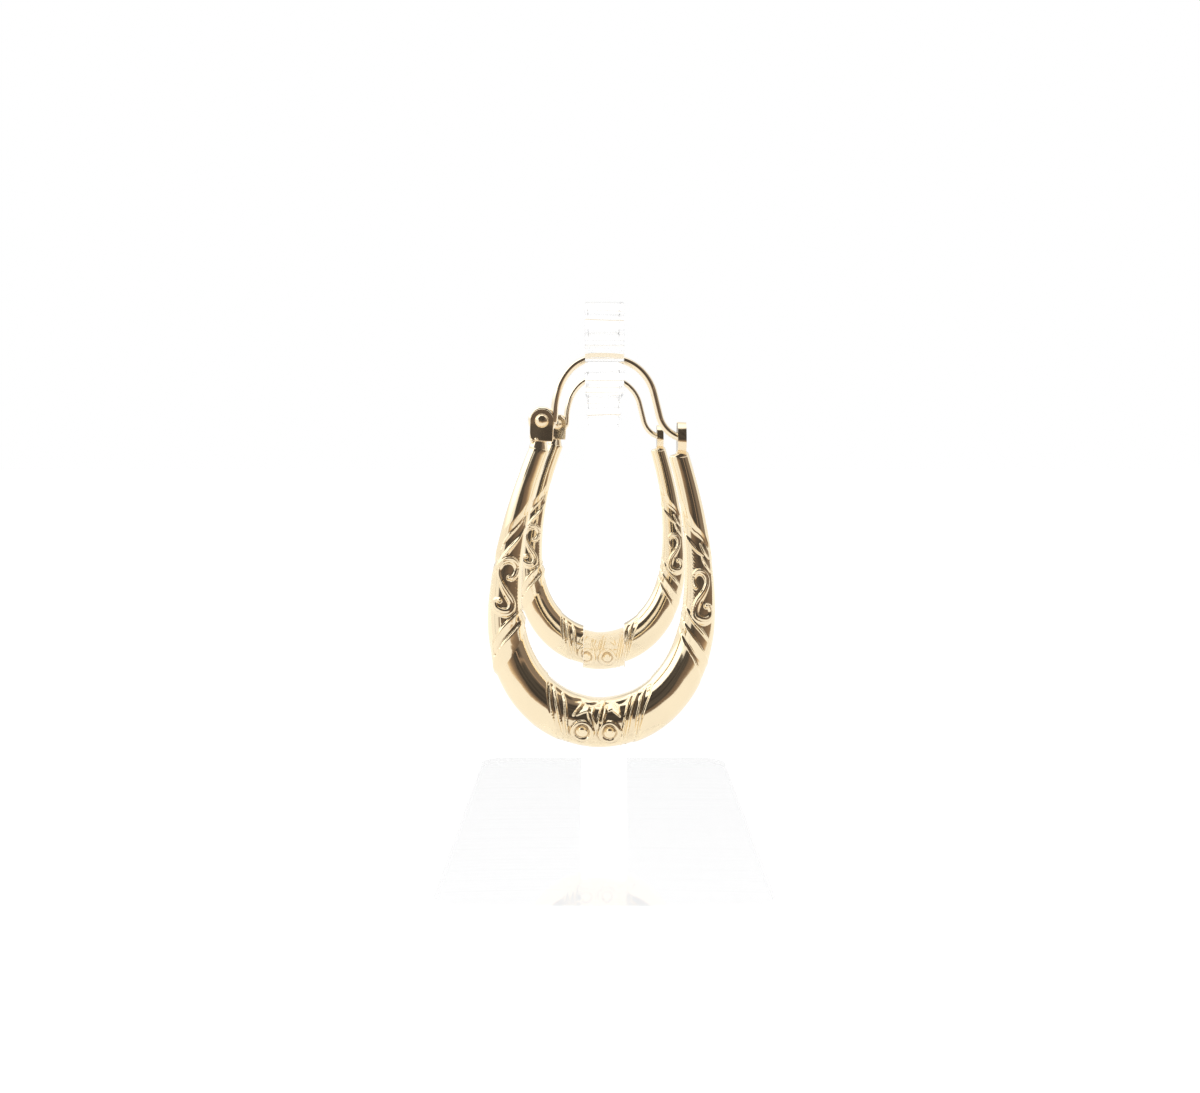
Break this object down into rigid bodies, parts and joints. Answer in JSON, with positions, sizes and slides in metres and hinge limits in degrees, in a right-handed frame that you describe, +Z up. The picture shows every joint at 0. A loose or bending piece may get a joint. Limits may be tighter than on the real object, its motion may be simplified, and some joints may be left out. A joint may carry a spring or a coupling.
{
  "type": "pair of creole hoop earrings on clear stand",
  "caption": "Oval hollow creole hoop earrings with hinged ear wires and catch tabs, hanging from the drilled cross bar of a plain clear T-shaped stand.",
  "frame": {"origin": "middle of the stand's underside, on the surface it stands on", "axes": "+X to the right across the hoops as the front one is seen, +Y from the front hoop to the rear one along the cross bar, +Z up"},
  "size_m": [0.026, 0.05, 0.0479],
  "materials": {
    "gold": "polished yellow gold with finely tooled raised ornament",
    "clear_plastic": "clear polished acrylic"
  },
  "bodies": {
    "stand": {"stand_base": "clear_plastic", "stand_upright": "clear_plastic", "ear_wire_front": "gold", "ear_wire_rear": "gold"},
    "front_hoop": {"hoop_front": "gold", "hinge_pin_front": "gold"},
    "rear_hoop": {"hoop_rear": "gold", "hinge_pin_rear": "gold"}
  },
  "joints": [
    {"name": "front_hinge", "type": "hinge", "parent": "stand", "child": "front_hoop", "pos_m": [-0.00473, -0.02, 0.03899], "axis": [0, 1, 0], "range_deg": [0, 90]},
    {"name": "rear_hinge", "type": "hinge", "parent": "stand", "child": "rear_hoop", "pos_m": [-0.00473, 0.02, 0.03899], "axis": [0, 1, 0], "range_deg": [0, 90]}
  ]
}
